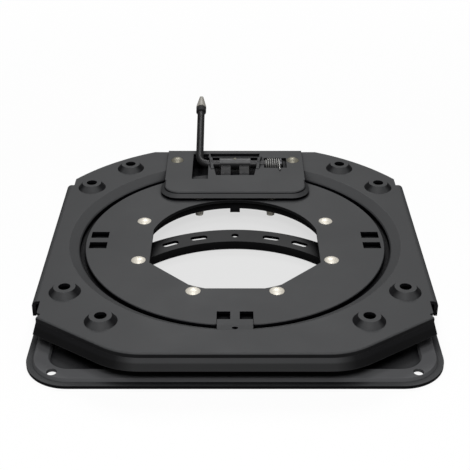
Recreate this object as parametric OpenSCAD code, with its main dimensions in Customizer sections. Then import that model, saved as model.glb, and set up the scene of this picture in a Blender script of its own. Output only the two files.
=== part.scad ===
// Swivel seat base: a pressed upper plate that turns on a ball race over a
// lower plate, held down by a riveted centre disc and locked by a sprung pawl.
// The origin is on the swivel axis at the underside, +Z up, the lock at +Y.

/* [Plates] */
// Width of the flat between the dish and the sides of both plates
side_land = 18; // [16:0.5:22]
// Height of the upper plate's top plane over the underside
plate_h = 33; // [32:0.5:38]
// Thickness of every pressed sheet
sheet = 3; // [2.5:0.1:3.2]
// Width of the flat between the dish and the front edge
front_land = 32; // [29:1:36]
// Width of the flat between the dish and the back edge
back_land = 27.5; // [25:0.5:32]
// How far the upper plate's back corners are cut back along their diagonals
corner_cut = 44; // [40:0.5:48]
// Depth of the upper plate's folded side flanges
flange_depth = 15; // [12:0.5:17]
// How far the side flanges end behind the front chamfers
flange_front_gap = 24.5; // [18:0.5:30]
// How far the side flanges end in front of the cut back corners
flange_back_gap = 2; // [1:0.5:10]
// How far the sheet steps in past the ends of the side flanges
side_step = 7.5; // [6:0.5:9]
// Angle of the front chamfers to the front edge
chamfer_angle = 34.5; // [32:0.5:37]
// How far the front chamfers reach back from the front edge
chamfer_depth = 50; // [46:0.5:54]
// Radius between the front edge and its chamfers
chamfer_r = 58; // [40:1:70]
// Depth of the front skirt
skirt_depth = 14.2; // [12:0.1:16]
// Height of the upright step at the top of the skirt
skirt_step = 4.4; // [3.5:0.1:5.5]
// How far the skirt flares out below its step
skirt_flare = 5; // [3:0.5:6]
// Outer radius of the side folds
bend_r = 5; // [4:0.5:6]
// Outer radius of the stepped folds at the skirt and the lip
step_r = 2; // [1.5:0.1:2.1]

/* [Lower plate] */
// How far the lower plate reaches past the dish at the front and back
base_land = 35; // [33:0.5:38]
// Corner radius of the lower plate
base_corner_r = 38; // [32:1:44]
// Width of the flat foot outside the rim bead
foot_w = 5; // [4:0.5:7]
// Width of the rim bead's flat top
bead_w = 12; // [11:0.5:13]
// Height of the rim bead
bead_h = 6; // [5:0.5:8]
// Distance of the base bolt holes from the lower plate's edge
base_bolt_in = 11; // [11:0.5:13]
// Angle of the base bolt holes round each corner of the rim bead
base_bolt_angle = 60; // [45:1:70]
// Diameter of the base bolt holes
base_bolt_d = 8.5; // [7:0.5:9]

/* [Seat bosses] */
// Distance of the outer seat bolts from the plate's sides
seat_edge_x = 26.5; // [24:0.5:29]
// How far the outer seat bolts lie in from the inner ones, front and back
seat_step_y = 44; // [42:0.5:47]
// Distance between the inner seat bolts from left to right
seat_inner_x = 222; // [218:1:226]
// Distance of the inner seat bolts from the back edge
seat_edge_y = 40.5; // [38:0.5:43]
// Height of the seat bosses
boss_h = 5.5; // [4:0.5:7]
// Diameter of a seat boss at its base
boss_base_d = 28; // [25:0.5:29]
// Diameter of a seat boss at its top
boss_top_d = 19; // [17:0.5:21]
// Diameter of the seat bolt holes
seat_hole_d = 10.5; // [8:0.5:11]

/* [Turning joint] */
// Radius of the centre disc
disc_r = 141; // [140:0.5:143]
// How far the disc's top lies below the upper plate's top plane
disc_drop = 5.4; // [5:0.1:6]
// How far the opening's front flats lie inside the hub's flange
opening_flat_in = 1.5; // [1:0.5:5]
// How far the opening's straight sides lie inside the hub's flange
opening_side_in = 7.5; // [6.5:0.5:9]
// How far the opening's round back lies inside the hub's flange
opening_round_in = 5; // [4:0.5:6]
// Gap between the disc and the dish's inner edge
disc_gap = 5; // [4:0.5:5.5]
// Width of the dish
dish_w = 9.5; // [8:0.5:12]
// Depth of the dish
dish_depth = 5; // [4:0.1:5.4]
// How far the ball race lies inside the disc's rim
race_inset = 15; // [12:0.5:17]
// How far the drawn hub's outside lies inside the ball race
hub_inset = 20; // [18:0.5:22]
// Width of the hub's flange
hub_flange_w = 20; // [19:0.5:22]
// Thickness of the glide ring's flat
glide_t = 2; // [1.5:0.1:2.4]
// Radial width of the glide ring
glide_w = 11; // [8:0.5:11]
// Radial gap between the hub and the upper plate's flange
hub_gap = 2; // [1.8:0.1:2.5]
// Diameter of the bearing balls
ball_d = 8; // [7:0.1:8.2]
// Number of bearing balls
ball_count = 30; // [24:1:36]
// Depth of the ball grooves
groove_depth = 1; // [0.8:0.1:1.2]

/* [Rivets] */
// How far the hub rivets lie inside the hub's outside
rivet_inset = 10; // [9.5:0.1:10.5]
// Number of hub rivets
rivet_count = 8; // [8:8]
// Diameter of the hub rivets' shanks
rivet_d = 8; // [6:0.5:8]
// Diameter of the rivet heads
head_d = 13.5; // [12:0.5:13.5]
// Height of the rivet heads
head_h = 2.2; // [1.8:0.1:2.3]
// Diameter of the rivet collars
collar_d = 11; // [10:0.5:11]
// Height of the rivet collars
collar_h = 11; // [9:0.5:12]

/* [Lock] */
// Width of the lock plate
tongue_w = 145; // [143:1:152]
// How far the lock plate reaches in past the hub's flange
tongue_over = 3.5; // [2:0.5:6]
// Distance of the lock plate's back edge from the upper plate's back edge
tongue_back_gap = 3; // [2:0.5:5]
// Depth of the lock plate's front lip
lip_depth = 5.5; // [5:0.1:5.8]
// Height of the upright step at the top of the lip
lip_step = 2.2; // [2.1:0.1:2.6]
// How far the lip flares out below its step
lip_flare = 3.5; // [2.5:0.5:4]
// Distance of the lever's shaft from the disc's rim
shaft_out = 9; // [8.5:0.1:10]
// Diameter of the lever rod
rod_d = 8; // [7:0.1:8.2]
// Distance of the lever's arm from the middle
arm_x = 38; // [37:0.5:39]
// Length of the lever's arm from its shaft to its tip
arm_len = 106; // [90:1:120]
// Slope of the lever's arm when released
arm_angle = 20; // [16:1:24]
// Distance between the middles of the two slots of a pair
slot_pitch = 19.5; // [19:0.1:20.5]
// Width of a lock slot
slot_w = 11.5; // [11:0.1:12]
// Width of the disc's rim outside the lock slots
slot_rim = 4; // [3.5:0.1:5]
// Length of the lock slots
slot_len = 16.5; // [16:0.5:18]
// Side clearance of a tooth in its slot
tooth_gap = 0.75; // [0.5:0.05:1]

/* [Cross bar] */
// Radius of the bar's inner edge
bar_in_r = 119; // [115:0.5:123]
// Width of the bar
bar_w = 23; // [20:0.5:26]
// Distance of the bar's arc centre in front of the axis
bar_centre_y = 92; // [88:0.5:96]

/* [Hidden] */
$fn = 96;
// A small overrun that lets cuts pass their faces
eps = 0.05;
// Running clearance of turning metal and nylon pieces
run_gap = 0.1;
charcoal = [0.30, 0.31, 0.33];
zinc = [0.86, 0.84, 0.80];
steel = [0.55, 0.55, 0.56];
nylon = [0.90, 0.88, 0.82];
black = [0.08, 0.08, 0.09];

// Heights of the stack, from the top plane down
disc_top = plate_h - disc_drop;
disc_bottom = disc_top - sheet;
flange_top = disc_bottom - run_gap - glide_t;
flange_bottom = flange_top - sheet;
land_top = flange_bottom - ball_d + 2 * groove_depth - run_gap;
land_bottom = land_top - sheet;
ball_z = (flange_bottom + land_top) / 2;
tongue_top = plate_h + sheet;

// Plan of the turning joint
wall_r = disc_r + disc_gap;
dish_r = wall_r + dish_w;
dish_z = plate_h - dish_depth;
front_y = dish_r + front_land;
back_y = dish_r + back_land;
race_r = disc_r - race_inset;
hub_r = race_r - hub_inset;
hub_in_r = hub_r - hub_flange_w;
rivet_r = hub_r - rivet_inset;
opening_flat = hub_in_r - opening_flat_in;
opening_side = hub_in_r - opening_side_in;
opening_r = hub_in_r - opening_round_in;
flange_in_r = hub_r + hub_gap;
slot_out_r = disc_r - slot_rim;
slot_in_r = slot_out_r - slot_len;
shaft_y = disc_r + shaft_out;
tongue_front_y = hub_in_r - tongue_over;
tongue_back_y = back_y - tongue_back_gap;

// Plan of the upper plate's edges
side_x = dish_r + side_land;
plate_w = 2 * side_x;
base_d = 2 * (dish_r + base_land);
chamfer_start_y = front_y - chamfer_depth;
inner_x = side_x - side_step;
corner_cut_r = norm([inner_x, back_y]) - corner_cut;
flange_front_y = chamfer_start_y - flange_front_gap;
flange_back_y = sqrt(corner_cut_r * corner_cut_r - side_x * side_x) - flange_back_gap;
seat_outer_x = plate_w - 2 * seat_edge_x;
seat_inner_y = 2 * (back_y - seat_edge_y);
seat_outer_y = seat_inner_y - 2 * seat_step_y;

// Section of a folded edge: x runs inward from the outer face, y is height
module fold_section(top, depth) {
    lap = 4;
    translate([0, top - depth]) square([sheet, depth - bend_r + eps]);
    intersection() {
        translate([bend_r, top - bend_r]) difference() {
            circle(bend_r);
            circle(bend_r - sheet);
        }
        translate([0, top - bend_r]) square(bend_r + eps);
    }
    translate([bend_r, top - sheet]) square([lap, sheet]);
}

// Section of a stepped edge: upright for a short drop, then flared out
module step_section(top, drop, flare, depth) {
    lap = 7;
    slope = atan(flare / (depth - drop));
    across = sheet / cos(slope);
    inner_y = top - depth + (depth - drop) * (sheet + flare - across) / flare;
    difference() {
        union() {
            translate([step_r, top - step_r]) circle(step_r);
            translate([step_r, top - sheet]) square([lap, sheet]);
            translate([0, top - drop]) square([sheet, drop - step_r + eps]);
            polygon([[0, top - drop + eps], [0, top - drop], [-flare, top - depth],
                     [across - flare, top - depth], [sheet, inner_y], [sheet, top - drop + eps]]);
        }
        translate([sheet, top - depth]) square([lap + step_r, depth - sheet]);
    }
}

// A section drawn out straight from a point at an angle, inside to its left
module fold_run(start, angle, length) {
    translate([start[0], start[1], 0]) rotate([0, 0, angle]) rotate([90, 0, 90])
        linear_extrude(length) children();
}

// A section turned round a corner of an outline
module fold_turn(centre, radius, from, sweep) {
    translate([centre[0], centre[1], 0]) rotate([0, 0, from])
        rotate_extrude(angle = sweep) translate([radius, 0]) mirror([1, 0]) children();
}

// Points of an arc in the plan
function arc_points(centre, radius, from, to, steps) =
    [for (i = [0:steps]) let (a = from + (to - from) * i / steps)
        [centre[0] + radius * cos(a), centre[1] + radius * sin(a)]];

// Front outline of the upper plate: the chamfer line, its arc and the front edge
front_half = inner_x - (front_y - chamfer_start_y) / tan(chamfer_angle);
turn_len = chamfer_r * tan(chamfer_angle / 2);
turn_x = front_half - turn_len;
turn_y = chamfer_r - front_y;
chamfer_len = (front_y - chamfer_start_y) / sin(chamfer_angle) - turn_len;

// Half of the sheet's outline, drawn in by an inset along the folded front
module sheet_half(inset) {
    turn = arc_points([turn_x, turn_y], chamfer_r - inset, -90, -90 + chamfer_angle, 8);
    polygon(concat(
        [[-eps, inset - front_y]],
        turn,
        [[inner_x, inset / cos(chamfer_angle) - chamfer_start_y],
         [inner_x, back_y], [-eps, back_y]]));
}

module both_sides() {
    children();
    mirror([1, 0, 0]) children();
}

module skirt_section() {
    step_section(plate_h, skirt_step, skirt_flare, skirt_depth);
}

module front_skirt() {
    turn_end = [turn_x + chamfer_r * sin(chamfer_angle), turn_y - chamfer_r * cos(chamfer_angle)];
    fold_run([-turn_x, -front_y], 0, 2 * turn_x) skirt_section();
    both_sides() {
        fold_turn([turn_x, turn_y], chamfer_r, -90, chamfer_angle) skirt_section();
        fold_run(turn_end, chamfer_angle, chamfer_len) skirt_section();
    }
}

// Revolved section of the dish, the step down and the inner flange with its ball groove
module dish_section() {
    lap = 4;
    difference() {
        polygon([[flange_in_r, flange_bottom], [wall_r + sheet, flange_bottom],
                 [wall_r + sheet, dish_z - sheet], [dish_r + 0.7, plate_h - sheet],
                 [dish_r + lap, plate_h - sheet], [dish_r + lap, plate_h], [dish_r, plate_h],
                 [wall_r + 1, dish_z], [wall_r, dish_z - 1],
                 [wall_r, flange_top], [flange_in_r, flange_top]]);
        translate([race_r, ball_z]) circle(ball_d / 2 + run_gap / 2);
    }
}

module seat_points() {
    for (sx = [-1, 1], sy = [-1, 1]) {
        translate([sx * seat_outer_x / 2, sy * seat_outer_y / 2, 0]) children();
        translate([sx * seat_inner_x / 2, sy * seat_inner_y / 2, 0]) children();
    }
}

module seat_boss() {
    foot = sheet / 2;
    translate([0, 0, plate_h]) cylinder(h = boss_h, d1 = boss_base_d, d2 = boss_top_d);
    translate([0, 0, plate_h - foot]) cylinder(h = foot + eps, d = boss_base_d);
}

// The hollow under a pressed boss and its bolt hole
module seat_boss_cut() {
    wall = 0.8 * sheet;
    translate([0, 0, plate_h - sheet - eps])
        cylinder(h = boss_h + eps, d1 = boss_base_d - 2 * wall, d2 = boss_top_d - 2 * wall);
    translate([0, 0, plate_h - sheet]) cylinder(h = boss_h + 2 * sheet, d = seat_hole_d);
}

// Keeper tab over the front of the disc's rim
tab_w = 30;
tab_reach = disc_r - 4;
tab_lift = 0.4;
tab_hole_d = 5;
module front_tab() {
    top = disc_top + tab_lift + sheet;
    run = 10;
    translate([tab_w / 2, 0, 0]) rotate([90, 0, -90]) linear_extrude(tab_w)
        polygon([[tab_reach, top - sheet], [dish_r - run, top - sheet],
                 [dish_r + 1, plate_h - sheet], [dish_r + 1, plate_h],
                 [dish_r - run, top], [tab_reach, top]]);
}

// Room under the lock plate for the shaft, its ears and the pawl
room_side = 5;
room_front = 14;
room_back = 19;
room_floor = flange_top + 1;

// Pressed pocket behind the dish's wall that closes the lock's room from below
module lock_pocket() {
    difference() {
        translate([room_x - sheet, shaft_y - room_front, room_floor - sheet])
            cube([room_w + 2 * sheet, room_front + room_back + sheet, plate_h - room_floor + sheet]);
        translate([0, 0, flange_top]) cylinder(h = plate_h, r = wall_r + sheet / 2);
    }
}

module upper_plate() {
    color(charcoal) difference() {
        union() {
            translate([0, 0, plate_h - sheet]) linear_extrude(sheet) difference() {
                intersection() {
                    union() {
                        sheet_half(bend_r + 1);
                        mirror([1, 0]) sheet_half(bend_r + 1);
                    }
                    union() {
                        circle(corner_cut_r);
                        translate([-side_x, -front_y]) square([plate_w, front_y]);
                    }
                }
                circle(dish_r + 1);
            }
            rotate_extrude() dish_section();
            front_skirt();
            fold_run([side_x, -flange_front_y], 90, flange_front_y + flange_back_y)
                fold_section(plate_h, flange_depth);
            fold_run([-side_x, flange_back_y], 270, flange_front_y + flange_back_y)
                fold_section(plate_h, flange_depth);
            seat_points() seat_boss();
            front_tab();
            lock_pocket();
        }
        seat_points() seat_boss_cut();
        translate([0, -wall_r - tab_hole_d, disc_top]) cylinder(h = plate_h, d = tab_hole_d);
        translate([room_x, shaft_y - room_front, room_floor])
            cube([room_w, room_front + room_back, plate_h]);
        lock_rivet_points() cylinder(h = plate_h + 1, d = rivet_d);
    }
}

// Lock plate: a raised tongue whose front lip turns down over the disc
tongue_corner_r = 15;
shaft_z = plate_h + sheet / 2;
window_half_front = 20;
window_half_back = 27;
window_edge = 7;
window_front = [window_half_front, slot_in_r];
window_back = [window_half_back, tongue_back_y - window_edge];
ear_angle = atan((window_back[0] - window_front[0]) / (window_back[1] - window_front[1]));
ear_wall = 3.5;
ear_r = rod_d / 2 + ear_wall;
ear_half = 15;
ear_step = 0.6;
ear_out = 0.3;
spring_x = 33;
spring_room = 2;
side_opening_w = 24;
side_opening = [spring_x - spring_room, spring_x - spring_room + side_opening_w];
elbow_r = 10;
elbow_gap = 0.3;
arm_room = 7;
arm_slot = [-arm_x - arm_room, elbow_r - arm_x - elbow_gap];
arm_slot_front = 38;
arm_slot_back = 22;
shaft_end = 50.5;
room_x = arm_slot[0] - room_side;
room_w = shaft_end + 1 - room_x;
lock_rivet_inset = 10.5;
lock_rivet_out = 12.5;
lock_rivet_x = tongue_w / 2 - lock_rivet_inset;
lock_rivet_r = dish_r + lock_rivet_out;
lock_rivet_y = sqrt(lock_rivet_r * lock_rivet_r - lock_rivet_x * lock_rivet_x);
window_x_at_shaft = window_front[0] + (shaft_y - window_front[1]) * tan(ear_angle);

module lock_rivet_points() {
    for (sx = [-1, 1]) translate([sx * lock_rivet_x, lock_rivet_y, 0]) children();
}

// One bearing ear, folded up beside the window and drilled for the rod
module lock_ear() {
    translate([window_x_at_shaft + ear_out, shaft_y, 0]) rotate([0, 0, -ear_angle]) {
        translate([0, 0, shaft_z]) rotate([0, 90, 0]) cylinder(h = sheet, r = ear_r);
        translate([0, -ear_half, plate_h]) rotate([90, 0, 90]) linear_extrude(sheet)
            polygon([[0, 0], [2 * ear_half, 0], [2 * ear_half, sheet + ear_step],
                     [ear_half + ear_r * 0.8, sheet * 2.1], [ear_half - ear_r * 0.8, sheet * 2.1],
                     [0, sheet + ear_step]]);
    }
}

module lock_plate_openings() {
    translate([0, 0, plate_h - 1]) linear_extrude(sheet + 2) {
        polygon([[-window_front[0], window_front[1]], [window_front[0], window_front[1]],
                 window_back, [-window_back[0], window_back[1]]]);
        translate([side_opening[0], shaft_y - side_opening_w / 2]) square(side_opening_w);
        translate([arm_slot[0], shaft_y - arm_slot_front])
            square([arm_slot[1] - arm_slot[0], arm_slot_front + arm_slot_back]);
    }
}

module lip_section() {
    step_section(tongue_top, lip_step, lip_flare, lip_depth);
}

module lock_plate() {
    corner = [tongue_w / 2 - tongue_corner_r, tongue_front_y + tongue_corner_r];
    side_lip = 12;
    color(charcoal) difference() {
        union() {
            difference() {
                union() {
                    translate([-tongue_w / 2 + bend_r, corner[1], plate_h])
                        cube([tongue_w - 2 * bend_r, tongue_back_y - corner[1], sheet]);
                    translate([-corner[0], tongue_front_y + bend_r, plate_h])
                        cube([2 * corner[0], tongue_corner_r, sheet]);
                    translate([-tongue_w / 2, corner[1] + side_lip, plate_h])
                        cube([tongue_w, tongue_back_y - corner[1] - side_lip, sheet]);
                    both_sides() translate([corner[0], corner[1], plate_h])
                        cylinder(h = sheet, r = tongue_corner_r - bend_r);
                }
                lock_plate_openings();
            }
            fold_run([-corner[0], tongue_front_y], 0, 2 * corner[0]) lip_section();
            both_sides() {
                fold_turn(corner, tongue_corner_r, -90, 90) lip_section();
                fold_run([tongue_w / 2, corner[1]], 90, side_lip) lip_section();
                lock_ear();
            }
        }
        translate([arm_slot[0], shaft_y, shaft_z]) rotate([0, 90, 0])
            cylinder(h = side_opening[1] - arm_slot[0], d = rod_d + run_gap);
        lock_rivet_points() cylinder(h = plate_h + 2 * sheet, d = rivet_d);
    }
}

// A domed rivet head that rests on the plane z = 0
module rivet_head(d, h) {
    ball_r = (d * d / 4 + h * h) / (2 * h);
    intersection() {
        translate([0, 0, h - ball_r]) sphere(ball_r);
        cylinder(h = h + 1, d = d);
    }
}

tail_h = 2.5;
module lock_rivets() {
    color(zinc) lock_rivet_points() {
        translate([0, 0, tongue_top]) rivet_head(head_d, head_h + 0.8);
        translate([0, 0, plate_h - sheet]) cylinder(h = 2 * sheet + eps, d = rivet_d);
        translate([0, 0, plate_h - sheet - tail_h])
            cylinder(h = tail_h, d1 = head_d - 2, d2 = head_d - 0.5);
    }
}

// Lock lever: one bent rod, its cross run along the shaft and its arm sloping up to the back
tip_len = 14;
arm_end = arm_len - tip_len;
module lever_frame() {
    translate([0, shaft_y, shaft_z]) rotate([arm_angle, 0, 0]) children();
}

module lock_lever() {
    color(steel) difference() {
        lever_frame() {
            translate([elbow_r - arm_x, 0, 0]) rotate([0, 90, 0])
                cylinder(h = shaft_end + arm_x - elbow_r, d = rod_d);
            translate([elbow_r - arm_x, elbow_r, 0]) rotate([0, 0, 180])
                rotate_extrude(angle = 90) translate([elbow_r, 0]) circle(d = rod_d);
            translate([-arm_x, elbow_r, 0]) rotate([-90, 0, 0])
                cylinder(h = arm_end - elbow_r, d = rod_d);
        }
        pin_solid();
        translate([spring_x, shaft_y, shaft_z - rod_d]) cylinder(h = 2 * rod_d, d = wire_d + 0.4);
    }
}

module lever_collar() {
    color(black) lever_frame() translate([-arm_x, arm_end - 12, 0]) rotate([-90, 0, 0])
        rotate_extrude() polygon([[rod_d / 2, 0], [rod_d / 2 + 0.8, 0], [rod_d / 2 + 1.5, 0.8],
                                  [rod_d / 2 + 1.5, 6.2], [rod_d / 2 + 0.8, 7], [rod_d / 2, 7]]);
}

// Tapered tip, pushed over the rod's end
tip_nose_r = 2.5;
module lever_tip() {
    socket = 5;
    color(nylon) lever_frame() translate([-arm_x, arm_end - socket, 0]) rotate([-90, 0, 0])
        rotate_extrude() polygon(concat(
            [[0, socket], [rod_d / 2, socket], [rod_d / 2, 0], [rod_d / 2 + 1.6, 0],
             [rod_d / 2 + 1.6, 2]],
            arc_points([0, socket + tip_len - tip_nose_r], tip_nose_r, 20, 90, 5)));
}

// Pawl: a sleeve on the rod with two fingers, each with a tooth over its slot
pawl_len = 33;
pawl_r = 6.2;
finger_front_y = slot_in_r + 3.5;
tooth_back_y = slot_out_r - 3;
tooth_lift = 0.4;
module lock_pawl() {
    finger_w = slot_w - 2 * tooth_gap;
    finger_bottom = shaft_z - 3.5;
    finger_h = 4.5;
    tooth_bottom = disc_top + tooth_lift;
    color(steel) difference() {
        union() {
            translate([-pawl_len / 2, shaft_y, shaft_z]) rotate([0, 90, 0])
                cylinder(h = pawl_len, r = pawl_r);
            for (sx = [-1, 1]) translate([sx * slot_pitch / 2 + finger_w / 2, 0, 0])
                rotate([90, 0, -90]) linear_extrude(finger_w)
                    polygon([[-finger_front_y, tooth_bottom + 1.5],
                             [-finger_front_y - 1.5, tooth_bottom],
                             [-tooth_back_y, tooth_bottom], [-tooth_back_y, finger_bottom],
                             [-shaft_y, finger_bottom], [-shaft_y, finger_bottom + finger_h],
                             [-finger_front_y - 3, finger_bottom + finger_h],
                             [-finger_front_y, finger_bottom + finger_h - 1.5]]);
        }
        translate([-pawl_len, shaft_y, shaft_z]) rotate([0, 90, 0])
            cylinder(h = 2 * pawl_len, d = rod_d);
        pin_solid();
    }
}

// Spring pin through the sleeve and the rod
module pin_solid() {
    translate([0, shaft_y, shaft_z - pawl_r - 0.3]) cylinder(h = 2 * pawl_r + 0.6, d = 3);
}

module pawl_pin() {
    color(zinc) difference() {
        pin_solid();
        translate([0, shaft_y, shaft_z - pawl_r - 1]) cylinder(h = 2 * pawl_r + 2, d = 1.4);
    }
}

// Torsion spring on the shaft: one end in the rod, a leg on the lock plate
wire_d = 1.6;
spring_turns = 6;
spring_leg = 19;
spring_r = rod_d / 2 + wire_d / 2 + 0.6;
spring_pitch = wire_d + 0.7;
coil_steps = 20;

// A ring of points about a wire's centre, square to its direction
function wire_ring(c, dir, side) = let (up = cross(side, dir) / norm(cross(side, dir)),
                                        flat = cross(dir, up) / norm(dir))
    [for (k = [0:7]) c + wire_d / 2 * (cos(45 * k) * flat + sin(45 * k) * up)];

// A closed tube through a list of points
module wire(points, side) {
    n = len(points);
    rings = [for (i = [0:n - 1]) wire_ring(points[i],
        points[min(i + 1, n - 1)] - points[max(i - 1, 0)], side)];
    verts = [for (ring = rings, v = ring) v];
    walls = [for (i = [0:n - 2], k = [0:7])
        [8 * i + k, 8 * i + (k + 1) % 8, 8 * (i + 1) + (k + 1) % 8, 8 * (i + 1) + k]];
    ends = [[for (k = [7:-1:0]) k], [for (k = [0:7]) 8 * (n - 1) + k]];
    polyhedron(verts, concat(walls, ends));
}

function coil_point(i) = let (a = 90 + 360 * i / coil_steps)
    [spring_x + spring_pitch * i / coil_steps, shaft_y + spring_r * cos(a),
     shaft_z + spring_r * sin(a)];

module lock_spring() {
    last = spring_turns * coil_steps;
    leg_end = [spring_x + spring_pitch * (spring_turns + 0.3), shaft_y - spring_leg,
               tongue_top + wire_d / 2 + 0.15];
    color(zinc) wire(concat(
        [[spring_x, shaft_y, shaft_z + 1], [spring_x, shaft_y, shaft_z + spring_r - 1.2]],
        [for (i = [1:last]) coil_point(i)],
        [leg_end]), [1, 0, 0]);
}

module shaft_clip() {
    color(black) translate([shaft_end - 2.5, shaft_y, shaft_z]) rotate([0, 90, 0]) difference() {
        cylinder(h = 1.5, d = rod_d + 5);
        translate([0, 0, -1]) cylinder(h = 4, d = rod_d);
    }
}

// Nylon ring between the hub, the disc and the upper plate's flange
module glide_ring() {
    color(nylon) rotate_extrude() polygon([
        [hub_r + run_gap, flange_bottom], [flange_in_r, flange_bottom], [flange_in_r, flange_top],
        [hub_r + glide_w, flange_top], [hub_r + glide_w, flange_top + glide_t],
        [hub_r + run_gap, flange_top + glide_t]]);
}

module ball_points() {
    for (i = [0:ball_count - 1]) rotate([0, 0, 360 * i / ball_count])
        translate([race_r, 0, ball_z]) children();
}

module ball_cage() {
    cage_h = 3;
    color(nylon) difference() {
        translate([0, 0, ball_z - cage_h / 2]) difference() {
            cylinder(h = cage_h, r = race_r + ball_d / 2 + 2);
            translate([0, 0, -1]) cylinder(h = cage_h + 2, r = race_r - ball_d / 2 - 2);
        }
        ball_points() translate([0, 0, -cage_h]) cylinder(h = 2 * cage_h, d = ball_d + 0.3);
    }
}

module bearing_balls() {
    color(steel) ball_points() sphere(d = ball_d);
}

// Opening of the disc: flats in front with rounded corners, round at the back
corner_margin = 3.5;
module opening_plan() {
    k = opening_flat * tan(22.5);
    side_y = opening_flat * sqrt(2) - opening_side;
    corner_r = rivet_r - rivet_d / 2 - corner_margin;
    intersection() {
        polygon([[-opening_side, disc_r], [-opening_side, -side_y], [-k, -opening_flat],
                 [k, -opening_flat], [opening_side, -side_y], [opening_side, disc_r]]);
        union() {
            circle(opening_r);
            intersection() {
                circle(corner_r);
                translate([-disc_r, -disc_r]) square([2 * disc_r, disc_r]);
            }
        }
    }
}

// The slots of one pair, for each quarter of the disc
module lock_slots() {
    for (q = [0:3], sx = [-1, 1]) rotate([0, 0, 90 * q])
        translate([sx * slot_pitch / 2 - slot_w / 2, slot_in_r])
            square([slot_w, slot_out_r - slot_in_r]);
}

module centre_disc() {
    edge = 0.6;
    color(charcoal) difference() {
        rotate_extrude() polygon([[0, disc_bottom], [disc_r, disc_bottom],
                                  [disc_r, disc_top - edge], [disc_r - edge, disc_top],
                                  [0, disc_top]]);
        translate([0, 0, disc_bottom - 1]) linear_extrude(sheet + 2) {
            opening_plan();
            lock_slots();
        }
        rivet_points() cylinder(h = plate_h, d = rivet_d);
    }
}

module rivet_points() {
    for (i = [0:rivet_count - 1]) rotate([0, 0, (i + 0.5) * 360 / rivet_count])
        translate([rivet_r, 0, 0]) children();
}

hub_flange_bottom = disc_bottom - sheet;
washer_t = 1;
module hub_rivets() {
    shank_bottom = hub_flange_bottom - washer_t - collar_h - tail_h;
    color(zinc) rivet_points() {
        translate([0, 0, disc_top]) rivet_head(head_d, head_h);
        translate([0, 0, shank_bottom]) cylinder(h = disc_top - shank_bottom + eps, d = rivet_d);
    }
}

module rivet_washers() {
    color(zinc) rivet_points() translate([0, 0, hub_flange_bottom - washer_t]) difference() {
        cylinder(h = washer_t, d = collar_d + 1);
        translate([0, 0, -1]) cylinder(h = washer_t + 2, d = rivet_d);
    }
}

module rivet_collars() {
    color(zinc) rivet_points() translate([0, 0, hub_flange_bottom - washer_t - collar_h])
        rotate_extrude() polygon([[rivet_d / 2, 0], [collar_d / 2 - 1.2, 0],
                                  [collar_d / 2 - 0.6, collar_h - 1.2], [collar_d / 2, collar_h - 1],
                                  [collar_d / 2, collar_h], [rivet_d / 2, collar_h]]);
}

// Section of the lower plate's rim: x runs inward from its edge
slope_run = 1.5;
web_start = foot_w + 2 * slope_run + bead_w;
module rim_section() {
    lap = 2;
    top = foot_w + slope_run;
    polygon([[0, 0], [foot_w + sheet * 0.4, 0], [top + sheet * 0.4, bead_h - sheet],
             [top + bead_w - sheet * 0.4, bead_h - sheet], [web_start - sheet * 0.4, 0],
             [web_start + lap, 0], [web_start + lap, sheet], [web_start, sheet],
             [top + bead_w, bead_h], [top, bead_h], [foot_w, sheet], [0, sheet]]);
}

module rim() {
    cx = side_x - base_corner_r;
    cy = base_d / 2 - base_corner_r;
    for (q = [[1, 1, 0], [-1, 1, 90], [-1, -1, 180], [1, -1, 270]])
        translate([q[0] * cx, q[1] * cy, 0]) rotate([0, 0, q[2]])
            rotate_extrude(angle = 90) translate([base_corner_r, 0]) mirror([1, 0]) rim_section();
    for (s = [[side_x, -cy, 90, 2 * cy], [cx, base_d / 2, 180, 2 * cx],
              [-side_x, cy, 270, 2 * cy], [-cx, -base_d / 2, 0, 2 * cx]])
        translate([s[0], s[1], 0]) rotate([0, 0, s[2]]) rotate([90, 0, 90])
            linear_extrude(s[3]) rim_section();
}

// Rounded rectangle of the flat web, inside the rim
module web_plan(inset) {
    w = plate_w - 2 * inset;
    d = base_d - 2 * inset;
    r = base_corner_r - inset;
    square([w - 2 * r, d], center = true);
    square([w, d - 2 * r], center = true);
    for (sx = [-1, 1], sy = [-1, 1]) translate([sx * (w / 2 - r), sy * (d / 2 - r)]) circle(r);
}

// Revolved section of the drawn hub, the ball land and its slope to the web
land_out_r = race_r + 14;
module hub_section() {
    foot_r = land_out_r + 9;
    lap = 3;
    difference() {
        polygon([[hub_in_r, hub_flange_bottom], [hub_r - sheet, hub_flange_bottom],
                 [hub_r - sheet, land_bottom], [land_out_r - 1, land_bottom],
                 [foot_r - 1, 0], [foot_r + lap, 0], [foot_r + lap, sheet], [foot_r + 1, sheet],
                 [land_out_r + 1, land_top], [hub_r, land_top],
                 [hub_r, disc_bottom], [hub_in_r, disc_bottom]]);
        translate([race_r, ball_z]) circle(ball_d / 2 + run_gap / 2);
    }
}

// Lip turned down round the back of the hub's flange, with a small tab in its middle
hub_lip_front = 22;
hub_lip_depth = 6.4;
hub_tab_depth = 10.9;
hub_tab_w = 10;
module hub_lip() {
    reach = hub_in_r + 2 * sheet;
    bottom = hub_flange_bottom - hub_tab_depth;
    difference() {
        rotate_extrude() translate([hub_in_r, bottom]) square([sheet, hub_tab_depth + eps]);
        translate([-reach, -reach, bottom - 1])
            cube([2 * reach, reach - hub_lip_front, hub_tab_depth + 2]);
        for (x = [-reach - hub_tab_w / 2, hub_tab_w / 2]) translate([x, -reach, bottom - 1])
            cube([reach, 2 * reach, hub_tab_depth - hub_lip_depth + 1]);
    }
}

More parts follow.
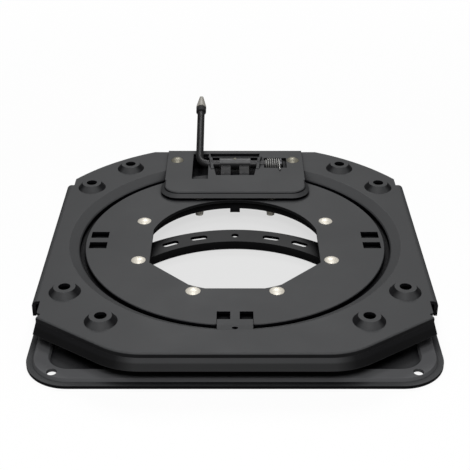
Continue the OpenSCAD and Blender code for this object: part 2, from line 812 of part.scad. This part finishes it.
// Base bolts pass through the top of the bead at the corners
module base_bolt_points() {
    reach = base_corner_r - base_bolt_in;
    x = side_x - base_corner_r + reach * cos(base_bolt_angle);
    y = base_d / 2 - base_corner_r + reach * sin(base_bolt_angle);
    for (sx = [-1, 1], sy = [-1, 1]) translate([sx * x, sy * y, 0]) children();
}

module lower_plate() {
    color(charcoal) difference() {
        union() {
            linear_extrude(sheet) difference() {
                web_plan(web_start + 2);
                circle(land_out_r + 10);
            }
            rim();
            rotate_extrude() hub_section();
            hub_lip();
        }
        translate([0, 0, hub_flange_bottom - 1]) linear_extrude(2 * sheet) opening_plan();
        rivet_points() cylinder(h = plate_h, d = rivet_d);
        base_bolt_points() translate([0, 0, -1]) cylinder(h = bead_h + 2, d = base_bolt_d);
        bar_rivet_points() cylinder(h = plate_h, d = bar_rivet_d);
    }
}

// Cross bar: a flat arc under the ball land, with a lip along its front
bar_mid_r = bar_in_r + bar_w / 2;
bar_reach_r = hub_r + 14;
bar_rivet_d = 6;
bar_head_d = 9;
bar_head_h = 1.6;
// Clearance of the bar around the hub rivets' collars and tails
bar_rivet_room = 1.5;
bar_rivet_r = hub_r + 7;
bar_rivet_y = (pow(bar_mid_r, 2) - pow(bar_rivet_r, 2) - pow(bar_centre_y, 2)) / (2 * bar_centre_y);
bar_rivet_angle = asin(bar_rivet_y / bar_rivet_r);
module bar_rivet_points() {
    for (a = [bar_rivet_angle, 180 - bar_rivet_angle]) rotate([0, 0, a])
        translate([bar_rivet_r, 0, 0]) children();
}

// A slot in the bar, centred on its middle line at an angle from its middle
bar_slot_w = 7;
bar_slot_len = 10;
module bar_slot(angle) {
    rotate([0, 0, angle]) translate([0, bar_mid_r, 0]) linear_extrude(land_top) {
        square([bar_slot_len, bar_slot_w], center = true);
        for (s = [-1, 1]) translate([s * bar_slot_len / 2, 0]) circle(d = bar_slot_w);
    }
}

module cross_bar() {
    top = land_bottom;
    lip = top - 1.5;
    color(charcoal) difference() {
        intersection() {
            translate([0, -bar_centre_y, 0]) rotate([0, 0, 90 - 75]) rotate_extrude(angle = 150)
                union() {
                    translate([bar_in_r, top - sheet]) square([bar_w, sheet]);
                    translate([bar_in_r, top - lip]) square([sheet, lip]);
                }
            cylinder(h = plate_h, r = bar_reach_r);
        }
        translate([0, -bar_centre_y, 0]) {
            for (angle = [-28.8, -15.8, 15.8, 28.8]) bar_slot(angle);
            translate([0, bar_mid_r, 0]) cylinder(h = land_top, d = bar_slot_w);
        }
        bar_rivet_points() cylinder(h = plate_h, d = bar_rivet_d);
        rivet_points() cylinder(h = plate_h, d = collar_d + 2 * bar_rivet_room);
    }
}

module bar_rivets() {
    color(zinc) bar_rivet_points() {
        translate([0, 0, land_top]) rivet_head(bar_head_d, bar_head_h);
        translate([0, 0, land_bottom - sheet]) cylinder(h = 2 * sheet + eps, d = bar_rivet_d);
        translate([0, 0, land_bottom - sheet - bar_head_h])
            cylinder(h = bar_head_h, d1 = bar_head_d - 1.5, d2 = bar_head_d);
    }
}

upper_plate();
lock_plate();
lock_rivets();
lock_lever();
lever_collar();
lever_tip();
lock_pawl();
pawl_pin();
lock_spring();
shaft_clip();
glide_ring();
ball_cage();
bearing_balls();
centre_disc();
hub_rivets();
rivet_washers();
rivet_collars();
lower_plate();
cross_bar();
bar_rivets();
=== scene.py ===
"""Swivel seat base: materials, floor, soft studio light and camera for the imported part."""

import math

import bpy
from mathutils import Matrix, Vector

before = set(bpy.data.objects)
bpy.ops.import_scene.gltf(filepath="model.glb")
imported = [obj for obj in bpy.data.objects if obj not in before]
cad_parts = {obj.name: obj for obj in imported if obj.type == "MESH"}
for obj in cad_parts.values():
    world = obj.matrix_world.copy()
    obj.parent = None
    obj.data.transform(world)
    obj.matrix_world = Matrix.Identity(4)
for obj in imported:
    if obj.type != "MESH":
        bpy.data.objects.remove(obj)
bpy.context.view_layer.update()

# The camera: straight in front, looking down at an angle in degrees, from a distance in metres
CAMERA_ELEVATION = 29.9
CAMERA_DISTANCE = 0.975
CAMERA_LENS_MM = 78.9
AIM = Vector((0.0, 0.0, 0.033))

# Sizes of surface detail, as noise scales per metre
GRAIN = 1500.0
PEEL = 420.0
PATCH = 22.0
BRUSH = 240.0

# Most values of a noise lie between these two
NOISE_SPAN = (0.3, 0.7)

# Radius that edges are softened to in shading, in metres, and the rays that find it
EDGE_SOFT = 0.0006
BEVEL_SAMPLES = 6

# Paler edges, partly wear and partly a painted highlight: the softening radius in metres, then the
# agreement of the softened and the flat normal from where the paler edge starts to where it is
# full
COAT_EDGE = (0.0009, 0.985, 0.90)
ROD_EDGE = (0.0008, 0.98, 0.88)
PAWL_EDGE = (0.0006, 0.98, 0.88)
# Edge tone of the rod and pawl steel: partly wear, partly a painted highlight
RUBBED_AND_LIT_STEEL = (0.12, 0.12, 0.12)

# Upward part of a face's normal, from where painted shade on upright faces starts to fade to where
# it is gone
LOOKS_UP = (0.3, 0.42)

# How much of a normal's lean to the left or right is taken off its height, so sideways faces get
# painted shade too
SIDE_LEAN = -0.5

# Painted shade in creases: the share of open space around a point, from a full crease to an open
# face, and how far that space is looked for, in metres
CREASE = (0.38, 0.82)
CREASE_REACH = 0.040
LOCK_CREASE_REACH = 0.010
SMALL_CREASE = (0.4, 0.8)
SMALL_CREASE_REACH = 0.003
CREASE_SAMPLES = 8

# Heights of the lower plate's rim bead, in metres, where a highlight is painted
RIM_BEAD = (0.0035, 0.0065)

# Heights in metres over which the coat changes from a painted shade on low parts to its full tone,
# and the share of the full tone that what lies lower keeps
LOW_SHADE_HEIGHTS = (0.0240, 0.0255)
LOW_SHADE_SHARE = 0.45

# Where the pawl's fingers, near-black as painted shade, end and its sleeve on the rod starts,
# along Y in metres
SLEEVE = (0.1445, 0.1455)

# Floor: radius and depth under the part in metres, and the grey that the part's light meets
FLOOR_SIDES = 96
FLOOR_RADIUS = 12.0
FLOOR_DEPTH = 0.0002
FLOOR_GREY = 0.35

# What the camera sees of the floor: two distances from the axis in metres, and the value that
# grows between them to 1. First the strength of its glow, dimmed under the part as a painted
# shade seen through the opening, then the glow's share of its tone
GLOW_STRENGTH = (0.12, 0.17, 0.74)
GLOW_SHARE = (0.35, 1.0, 0.88)

# Strength of the soft light from all around
SKY = 0.06

# Square lamps that face the part: name, place and side in metres, and power in watts
LAMPS = [
    ("key_behind", (0.0, 1.25, 1.3), 0.6, 11.0),
    ("top", (0.0, -0.15, 1.8), 0.6, 8.0),
    ("front_high", (0.0, -0.95, 1.25), 0.5, 13.0),
]


class Material:
    """A node material with short calls for the nodes that all finishes here share."""

    def __init__(self, name, roughness, metallic=0.0, specular=0.5):
        self.data = bpy.data.materials.new(name)
        self.data.use_nodes = True
        self.tree = self.data.node_tree
        self.shader = self.tree.nodes["Principled BSDF"]
        self.shader.inputs["Roughness"].default_value = roughness
        self.shader.inputs["Metallic"].default_value = metallic
        self.shader.inputs["Specular IOR Level"].default_value = specular
        self.place = self.tree.nodes.new("ShaderNodeTexCoord").outputs["Object"]

    def node(self, kind, **settings):
        """A new node with its plain settings."""
        made = self.tree.nodes.new(kind)
        for key, value in settings.items():
            setattr(made, key, value)
        return made

    def noise(self, scale, detail=3.0, stretch=(1.0, 1.0, 1.0)):
        """Noise in the object's own metres; stretch draws it out along an axis."""
        mapping = self.node("ShaderNodeMapping")
        mapping.inputs["Scale"].default_value = stretch
        self.tree.links.new(self.place, mapping.inputs["Vector"])
        made = self.node("ShaderNodeTexNoise")
        made.inputs["Scale"].default_value = scale
        made.inputs["Detail"].default_value = detail
        self.tree.links.new(mapping.outputs["Vector"], made.inputs["Vector"])
        return made.outputs["Fac"]

    def remap(self, value, start, end, low=0.0, high=1.0):
        """Maps a value that runs from start to end onto low to high."""
        made = self.node("ShaderNodeMapRange")
        made.inputs["From Min"].default_value = start
        made.inputs["From Max"].default_value = end
        made.inputs["To Min"].default_value = low
        made.inputs["To Max"].default_value = high
        self.tree.links.new(value, made.inputs["Value"])
        return made.outputs["Result"]

    def spread(self, noise, low, high):
        """Spreads a noise over a range of plain numbers."""
        return self.remap(noise, *NOISE_SPAN, low, high)

    def between(self, value, first, second):
        """A colour between two, by a 0 to 1 value."""
        made = self.node("ShaderNodeMix", data_type="RGBA")
        self.tree.links.new(value, made.inputs["Factor"])
        self.fill(made.inputs["A"], first)
        self.fill(made.inputs["B"], second)
        return made.outputs["Result"]

    def fill(self, socket, colour):
        """Gives a socket a plain colour or another node's colour."""
        if isinstance(colour, tuple):
            socket.default_value = (*colour, 1.0)
        else:
            self.tree.links.new(colour, socket)

    def soft_normal(self, radius):
        """The surface's normal with its edges rounded to a radius."""
        made = self.node("ShaderNodeBevel", samples=BEVEL_SAMPLES)
        made.inputs["Radius"].default_value = radius
        return made.outputs["Normal"]

    def edges(self, radius, start, end):
        """A mask that is 1 on edges and 0 on flats."""
        flat = self.node("ShaderNodeNewGeometry")
        dot = self.node("ShaderNodeVectorMath", operation="DOT_PRODUCT")
        self.tree.links.new(self.soft_normal(radius), dot.inputs[0])
        self.tree.links.new(flat.outputs["Normal"], dot.inputs[1])
        return self.remap(dot.outputs["Value"], start, end)

    def open_faces(self, reach, start, end):
        """A mask that is 0 in creases and pockets and 1 on open faces."""
        made = self.node("ShaderNodeAmbientOcclusion", samples=CREASE_SAMPLES)
        made.inputs["Distance"].default_value = reach
        return self.remap(made.outputs["AO"], start, end)

    def along(self, axis, start, end):
        """A mask that goes from 0 to 1 along an axis of the object, in metres."""
        parts = self.node("ShaderNodeSeparateXYZ")
        self.tree.links.new(self.place, parts.inputs[0])
        return self.remap(parts.outputs[axis], start, end)

    def height_band(self, low, high, blend=0.0005):
        """A mask that is 1 between two heights of the object, in metres."""
        made = self.node("ShaderNodeMath", operation="MULTIPLY")
        self.tree.links.new(self.along("Z", low - blend, low), made.inputs[0])
        self.tree.links.new(self.along("Z", high + blend, high), made.inputs[1])
        return made.outputs["Value"]

    def faces_up(self, start, end):
        """A mask that is 1 on faces that look up and 0 on upright or sideways ones."""
        flat = self.node("ShaderNodeNewGeometry")
        parts = self.node("ShaderNodeSeparateXYZ")
        self.tree.links.new(flat.outputs["Normal"], parts.inputs[0])
        lean = self.node("ShaderNodeMath", operation="ABSOLUTE")
        self.tree.links.new(parts.outputs["X"], lean.inputs[0])
        height = self.node("ShaderNodeMath", operation="MULTIPLY_ADD")
        height.inputs[1].default_value = SIDE_LEAN
        self.tree.links.new(lean.outputs["Value"], height.inputs[0])
        self.tree.links.new(parts.outputs["Z"], height.inputs[2])
        return self.remap(height.outputs["Value"], start, end)

    def bump(self, layers, soft_radius=EDGE_SOFT):
        """Stacks bump layers of (height, strength, depth in metres) on softened edges."""
        normal = self.soft_normal(soft_radius)
        for height, strength, depth in layers:
            made = self.node("ShaderNodeBump")
            made.inputs["Strength"].default_value = strength
            made.inputs["Distance"].default_value = depth
            self.tree.links.new(height, made.inputs["Height"])
            self.tree.links.new(normal, made.inputs["Normal"])
            normal = made.outputs["Normal"]
        self.tree.links.new(normal, self.shader.inputs["Normal"])

    def set(self, socket, value):
        """Leads a node's output into a socket of the shader."""
        self.tree.links.new(value, self.shader.inputs[socket])


def powder_coat(name="plate_paint", highlight_band=None, crease_reach=CREASE_REACH):
    """Satin charcoal coat: fine orange peel, painted shade on upright and sideways faces and in
    creases, and edges paler from wear and a painted highlight.

    Two heights given for the band, in metres, paint a highlight on what lies between them, and
    otherwise what lies low is darker, a painted shade.
    """
    # Painted shade on upright and sideways faces
    upright = (0.006, 0.006, 0.007)
    # Paler edge tone: partly wear, partly a painted highlight
    worn_and_lit_edge = (0.064, 0.065, 0.068)
    # Painted shade in creases and pockets
    crease = (0.003, 0.003, 0.004)
    # Painted highlight on the lower plate's rim bead
    bead = (0.095, 0.096, 0.10)
    # Painted shade mixed into what lies low
    black = (0.0, 0.0, 0.0)
    made = Material(name, roughness=0.6, specular=0.25)
    patches = made.noise(PATCH, detail=4.0)
    grain = made.noise(GRAIN, detail=2.0)
    peel = made.noise(PEEL, detail=2.0)
    film = made.between(patches, (0.045, 0.046, 0.048), (0.057, 0.058, 0.060))
    # Upright and sideways faces get the painted shade
    coat = made.between(made.faces_up(*LOOKS_UP), upright, film)
    # Edges paler from wear and a painted highlight
    edges_worn_and_lit = made.between(made.edges(*COAT_EDGE), coat, worn_and_lit_edge)
    # Creases and pockets get the painted shade
    open_part = made.open_faces(crease_reach, *CREASE)
    tone = made.between(open_part, crease, edges_worn_and_lit)
    if highlight_band:
        # A painted highlight along the band between the two heights
        tone = made.between(made.height_band(*highlight_band), tone, bead)
    else:
        # Painted shade on what lies low, such as the cross bar and the floor of the lock's pocket
        share = made.remap(made.along("Z", *LOW_SHADE_HEIGHTS), 0.0, 1.0, LOW_SHADE_SHARE, 1.0)
        tone = made.between(share, black, tone)
    made.set("Base Color", tone)
    # The painted crease shade also takes the sheen out of creases
    made.set("Specular IOR Level", made.remap(open_part, 0.0, 1.0, 0.02, 0.25))
    made.set("Roughness", made.spread(patches, 0.55, 0.66))
    made.bump([(peel, 0.25, 0.0002), (grain, 0.18, 0.0001)])
    return made.data


def base_coat():
    """The same coat on the lower plate, with a painted highlight along its raised rim bead."""
    return powder_coat("base_paint", highlight_band=RIM_BEAD)


def lock_coat():
    """The same coat on the lock plate, which stands proud, so its painted crease shade reaches
    only narrow creases.
    """
    return powder_coat("lock_paint", crease_reach=LOCK_CREASE_REACH)


def plated_steel(name, low, high, rough, metallic):
    """Plated steel between two tones, with fine tool marks and painted shade in its creases."""
    # Painted shade for creases
    steel_crease_shade = (0.05, 0.05, 0.04)
    made = Material(name, roughness=rough, metallic=metallic)
    patches = made.noise(PATCH * 8, detail=3.0)
    marks = made.noise(BRUSH * 4, detail=3.0, stretch=(1.0, 1.0, 3.0))
    tone = made.between(patches, low, high)
    open_part = made.open_faces(SMALL_CREASE_REACH, *SMALL_CREASE)
    # Creases get the painted shade
    made.set("Base Color", made.between(open_part, steel_crease_shade, tone))
    made.set("Roughness", made.spread(marks, rough - 0.06, rough + 0.08))
    made.bump([(marks, 0.15, 0.0001)], soft_radius=0.0004)
    return made.data


def zinc_plate():
    """Cream zinc on the hub's rivets and what hangs under them."""
    return plated_steel("zinc_steel", (0.82, 0.77, 0.66), (0.90, 0.86, 0.77), 0.44, 0.3)


def darker_zinc():
    """Darker zinc on the lock's rivets and pin."""
    return plated_steel("darker_zinc", (0.20, 0.19, 0.15), (0.34, 0.32, 0.26), 0.48, 0.5)


def spring_wire():
    """Drawn spring wire, grey and half bright."""
    return plated_steel("spring_wire", (0.36, 0.36, 0.35), (0.52, 0.52, 0.50), 0.44, 0.7)


def dark_steel():
    """Phosphated rod steel with drawing marks, its edges paler from wear and a painted highlight.
    """
    made = Material("rod_steel", roughness=0.45, metallic=0.6)
    drawn = made.noise(BRUSH * 2, detail=4.0, stretch=(4.0, 0.4, 4.0))
    patches = made.noise(PATCH * 4, detail=3.0)
    tone = made.between(patches, (0.020, 0.020, 0.021), (0.040, 0.040, 0.041))
    # Edges paler from wear and a painted highlight
    made.set("Base Color", made.between(made.edges(*ROD_EDGE), tone, RUBBED_AND_LIT_STEEL))
    made.set("Roughness", made.spread(drawn, 0.40, 0.55))
    made.bump([(drawn, 0.15, 0.0001)], soft_radius=0.0005)
    return made.data


def pawl_steel():
    """Pawl steel, its fingers near-black as painted shade in the lock's window and its sleeve on
    the rod greyer; its edges paler from wear and a painted highlight.
    """
    made = Material("pawl_steel", roughness=0.55, metallic=0.4, specular=0.4)
    bloom = made.noise(PATCH * 6, detail=4.0)
    grain = made.noise(GRAIN, detail=2.0)
    # The fingers sit in the lock's dark window and are made near-black as painted shade
    fingers = made.between(bloom, (0.006, 0.006, 0.007), (0.016, 0.016, 0.017))
    sleeve = made.between(bloom, (0.07, 0.07, 0.072), (0.11, 0.11, 0.112))
    tone = made.between(made.along("Y", *SLEEVE), fingers, sleeve)
    # Edges paler from wear and a painted highlight
    made.set("Base Color", made.between(made.edges(*PAWL_EDGE), tone, RUBBED_AND_LIT_STEEL))
    made.set("Roughness", made.spread(bloom, 0.48, 0.62))
    made.bump([(grain, 0.2, 0.0001)], soft_radius=0.0004)
    return made.data


def black_spring_steel():
    """Blackened steel of the shaft's clip."""
    made = Material("spring_steel", roughness=0.35, metallic=0.7)
    patches = made.noise(PATCH * 10, detail=3.0)
    made.set("Base Color", made.between(patches, (0.035, 0.035, 0.04), (0.07, 0.07, 0.075)))
    made.set("Roughness", made.spread(patches, 0.28, 0.42))
    made.bump([(patches, 0.1, 0.0001)], soft_radius=0.0003)
    return made.data


def ball_steel():
    """Polished bearing balls under a thin film of grease."""
    made = Material("ball_steel", roughness=0.14, metallic=1.0)
    film = made.noise(PATCH * 6, detail=3.0)
    made.set("Base Color", made.between(film, (0.66, 0.65, 0.62), (0.76, 0.76, 0.76)))
    made.set("Roughness", made.spread(film, 0.10, 0.24))
    return made.data


def black_rubber():
    """Matte rubber of the lever's collar."""
    made = Material("black_rubber", roughness=0.7, specular=0.35)
    grain = made.noise(GRAIN, detail=3.0)
    made.set("Base Color", made.between(grain, (0.012, 0.012, 0.013), (0.024, 0.024, 0.025)))
    made.set("Roughness", made.spread(grain, 0.6, 0.8))
    made.bump([(grain, 0.25, 0.0001)])
    return made.data


def pale_plastic():
    """Greyish off-white tip with a yellow tint and a soft moulding grain."""
    made = Material("pale_plastic", roughness=0.45, specular=0.45)
    patches = made.noise(PATCH * 5, detail=3.0)
    grain = made.noise(GRAIN, detail=2.0)
    made.set("Base Color", made.between(patches, (0.30, 0.285, 0.25), (0.38, 0.365, 0.33)))
    made.set("Roughness", made.spread(grain, 0.38, 0.52))
    made.bump([(grain, 0.12, 0.0001)])
    return made.data


def natural_nylon():
    """Uncoloured nylon of the bearing's ring and cage, which lets a little light in."""
    made = Material("nylon", roughness=0.5, specular=0.45)
    made.shader.inputs["Subsurface Weight"].default_value = 0.08
    made.shader.inputs["Subsurface Radius"].default_value = (0.002, 0.002, 0.0015)
    patches = made.noise(PATCH * 3, detail=3.0)
    grain = made.noise(GRAIN, detail=2.0)
    made.set("Base Color", made.between(patches, (0.74, 0.71, 0.62), (0.82, 0.80, 0.73)))
    made.set("Roughness", made.spread(grain, 0.42, 0.56))
    made.bump([(grain, 0.12, 0.0001)])
    return made.data


FINISHES = {
    powder_coat: ["upper_plate", "centre_disc", "cross_bar"],
    lock_coat: ["lock_plate"],
    base_coat: ["lower_plate"],
    zinc_plate: ["hub_rivets", "rivet_washers", "rivet_collars", "bar_rivets"],
    darker_zinc: ["lock_rivets", "pawl_pin"],
    spring_wire: ["lock_spring"],
    dark_steel: ["lock_lever"],
    pawl_steel: ["lock_pawl"],
    black_spring_steel: ["shaft_clip"],
    ball_steel: ["bearing_balls"],
    black_rubber: ["lever_collar"],
    pale_plastic: ["lever_tip"],
    natural_nylon: ["glide_ring", "ball_cage"],
}


def dress_nodes():
    """Gives every CAD node the finish of its real piece."""
    for finish, names in FINISHES.items():
        material = finish()
        for name in names:
            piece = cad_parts[name]
            if not piece.material_slots:
                piece.data.materials.append(material)
            for slot in piece.material_slots:
                slot.material = material


def empty_tree(data):
    """Turns nodes on for a material or world and clears them."""
    data.use_nodes = True
    data.node_tree.nodes.clear()
    return data.node_tree


def plain_shader(tree, kind, **values):
    """A shader node with its inputs' values; grey levels stand for colours."""
    made = tree.nodes.new(kind)
    for key, value in values.items():
        made.inputs[key].default_value = (value, value, value, 1.0) if key == "Color" else value
    return made


def split_by_camera(tree, others, camera, output_kind):
    """Shows one shader to the camera and the other one to all other rays."""
    path = tree.nodes.new("ShaderNodeLightPath")
    mix = tree.nodes.new("ShaderNodeMixShader")
    out = tree.nodes.new(output_kind)
    tree.links.new(path.outputs["Is Camera Ray"], mix.inputs["Fac"])
    tree.links.new(others, mix.inputs[1])
    tree.links.new(camera, mix.inputs[2])
    tree.links.new(mix.outputs["Shader"], out.inputs["Surface"])


def grow_outwards(tree, distance, socket, near, far, low):
    """Lets a socket's value grow from low to 1 with the distance from the axis."""
    fade = tree.nodes.new("ShaderNodeMapRange")
    fade.inputs["From Min"].default_value = near
    fade.inputs["From Max"].default_value = far
    fade.inputs["To Min"].default_value = low
    tree.links.new(distance, fade.inputs["Value"])
    tree.links.new(fade.outputs["Result"], socket)


def floor_finish():
    """Plain grey to the part; white to the camera, with a shadow and a shade in the opening."""
    data = bpy.data.materials.new("studio_floor")
    tree = empty_tree(data)
    grey = plain_shader(tree, "ShaderNodeBsdfDiffuse", Color=FLOOR_GREY)
    shaded = plain_shader(tree, "ShaderNodeBsdfDiffuse", Color=1.0)
    glow = tree.nodes.new("ShaderNodeEmission")
    seen = tree.nodes.new("ShaderNodeMixShader")
    place = tree.nodes.new("ShaderNodeTexCoord")
    reach = tree.nodes.new("ShaderNodeVectorMath")
    reach.operation = "LENGTH"
    tree.links.new(place.outputs["Object"], reach.inputs[0])
    distance = reach.outputs["Value"]
    # The glow is dimmed under the part, a painted shade seen through the opening
    grow_outwards(tree, distance, glow.inputs["Strength"], *GLOW_STRENGTH)
    grow_outwards(tree, distance, seen.inputs["Fac"], *GLOW_SHARE)
    tree.links.new(shaded.outputs["BSDF"], seen.inputs[1])
    tree.links.new(glow.outputs["Emission"], seen.inputs[2])
    split_by_camera(tree, grey.outputs["BSDF"], seen.outputs["Shader"], "ShaderNodeOutputMaterial")
    return data


def make_floor():
    """Lays a wide round floor just under the part."""
    bpy.ops.mesh.primitive_circle_add(vertices=FLOOR_SIDES, radius=FLOOR_RADIUS,
                                      fill_type="NGON", location=(0.0, 0.0, -FLOOR_DEPTH))
    floor = bpy.context.object
    floor.name = "studio_floor"
    floor.data.materials.append(floor_finish())


def make_world():
    """A pale backdrop to the camera, and a faint light from all around to the part."""
    world = bpy.data.worlds.new("studio_world")
    tree = empty_tree(world)
    soft = plain_shader(tree, "ShaderNodeBackground", Color=1.0, Strength=SKY)
    pale = plain_shader(tree, "ShaderNodeBackground", Strength=1.0)
    split_by_camera(tree, soft.outputs["Background"], pale.outputs["Background"],
                    "ShaderNodeOutputWorld")
    bpy.context.scene.world = world


def aim(thing, target):
    """Turns a lamp or camera to face a point."""
    thing.rotation_euler = (Vector(target) - thing.location).to_track_quat("-Z", "Y").to_euler()


def softbox(name, place, size, power):
    """A square area lamp that faces the part."""
    lamp = bpy.data.lights.new(name, "AREA")
    lamp.shape = "SQUARE"
    lamp.size = size
    lamp.energy = power
    made = bpy.data.objects.new(name, lamp)
    made.location = place
    bpy.context.scene.collection.objects.link(made)
    aim(made, AIM)


def make_lights():
    """Hangs the lamps: one behind, one above and one high in front."""
    for lamp in LAMPS:
        softbox(*lamp)


def make_camera():
    """Stands in front of the part at the photograph's height and distance."""
    lens = bpy.data.cameras.new("camera")
    lens.sensor_width = 36.0
    lens.lens = CAMERA_LENS_MM
    lens.clip_start = 0.01
    camera = bpy.data.objects.new("camera", lens)
    angle = math.radians(CAMERA_ELEVATION)
    camera.location = AIM + CAMERA_DISTANCE * Vector((0.0, -math.cos(angle), math.sin(angle)))
    bpy.context.scene.collection.objects.link(camera)
    aim(camera, AIM)
    bpy.context.scene.camera = camera


dress_nodes()
make_floor()
make_world()
make_lights()
make_camera()
bpy.context.scene.view_settings.view_transform = "Standard"
